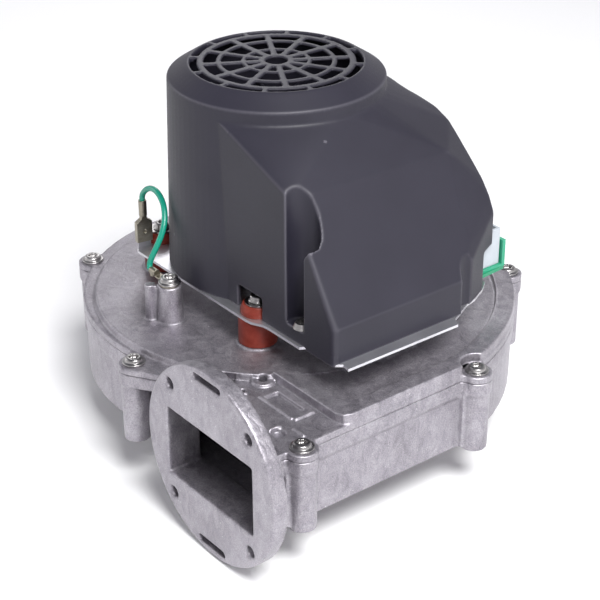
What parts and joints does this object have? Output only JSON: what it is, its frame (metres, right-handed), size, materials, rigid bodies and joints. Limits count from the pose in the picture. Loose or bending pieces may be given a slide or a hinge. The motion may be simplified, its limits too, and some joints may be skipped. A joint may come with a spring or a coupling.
{
  "type": "motorised gas blower",
  "caption": "Premix burner blower: cast scroll with round outlet flange, shrouded impeller and motor under a grilled cover.",
  "frame": {"origin": "centre of the inlet collar's face, on the shaft axis", "axes": "+Z along the shaft axis from the inlet to the motor, -Y is the way the outlet blows, +X is the side the outlet is on"},
  "size_m": [0.2294, 0.2052, 0.168],
  "materials": {
    "cast_aluminium": "rough cast",
    "black_plastic": "matte",
    "green_plastic": "satin",
    "white_plastic": "satin",
    "steel": "nickel plated",
    "galvanised_steel": "galvanised",
    "bearing_steel": "polished",
    "lamination_steel": "satin",
    "copper": "enamelled wire",
    "brass": "tin plated",
    "magnet": "matte",
    "silicone": "matte",
    "black_rubber": "matte",
    "pvc_wire": "gloss",
    "circuit_board": "satin"
  },
  "bodies": {
    "frame": {"lower_housing": "cast_aluminium", "upper_cover": "cast_aluminium", "housing_seal": "black_rubber", "cover_screws": "steel", "shaft_seal": "black_rubber", "seal_retainer": "galvanised_steel", "seal_retainer_screws": "steel", "isolator_front": "silicone", "isolator_left": "silicone", "isolator_rear": "silicone", "isolator_washers": "steel", "isolator_screws": "steel", "motor_plate": "galvanised_steel", "earth_screw": "steel", "earth_ring_terminal": "brass", "earth_wire": "pvc_wire", "earth_receptacle": "brass", "lower_bearing_bracket": "cast_aluminium", "upper_bearing_bracket": "cast_aluminium", "bracket_screws": "steel", "motor_through_bolts": "steel", "stator_core": "lamination_steel", "stator_insulator": "white_plastic", "stator_windings": "copper", "lower_bearing_outer_race": "bearing_steel", "upper_bearing_outer_race": "bearing_steel", "bearing_preload_spring": "bearing_steel", "circuit_board": "circuit_board", "board_spacers": "white_plastic", "board_capacitors": "black_plastic", "board_choke": "magnet", "heat_sink": "cast_aluminium", "power_header": "white_plastic", "power_header_pins": "brass", "connector_carrier": "green_plastic", "motor_cover": "black_plastic", "motor_cover_screws": "steel"},
    "rotor": {"rotor_shaft": "bearing_steel", "rotor_core": "lamination_steel", "rotor_magnets": "magnet", "lower_bearing_inner_race": "bearing_steel", "upper_bearing_inner_race": "bearing_steel", "cooling_fan": "black_plastic", "impeller_hub": "galvanised_steel", "impeller_back_plate": "galvanised_steel", "impeller_blades": "galvanised_steel", "impeller_shroud": "galvanised_steel", "impeller_washer": "steel", "impeller_nut": "steel"},
    "lower_ball_set": {"lower_bearing_cage": "bearing_steel", "lower_bearing_balls": "bearing_steel"},
    "upper_ball_set": {"upper_bearing_cage": "bearing_steel", "upper_bearing_balls": "bearing_steel"}
  },
  "joints": [
    {"name": "rotor_spin", "type": "hinge", "parent": "frame", "child": "rotor", "pos_m": [0, 0, 0.05], "axis": [0, 0, 1], "continuous": true},
    {"name": "lower_balls_spin", "type": "hinge", "parent": "frame", "child": "lower_ball_set", "pos_m": [0, 0, 0.0835], "axis": [0, 0, 1], "continuous": true},
    {"name": "upper_balls_spin", "type": "hinge", "parent": "frame", "child": "upper_ball_set", "pos_m": [0, 0, 0.1325], "axis": [0, 0, 1], "continuous": true}
  ],
  "couplings": [
    {"joint": "lower_balls_spin", "follows": "rotor_spin", "ratio": 0.3733},
    {"joint": "upper_balls_spin", "follows": "rotor_spin", "ratio": 0.3733}
  ]
}
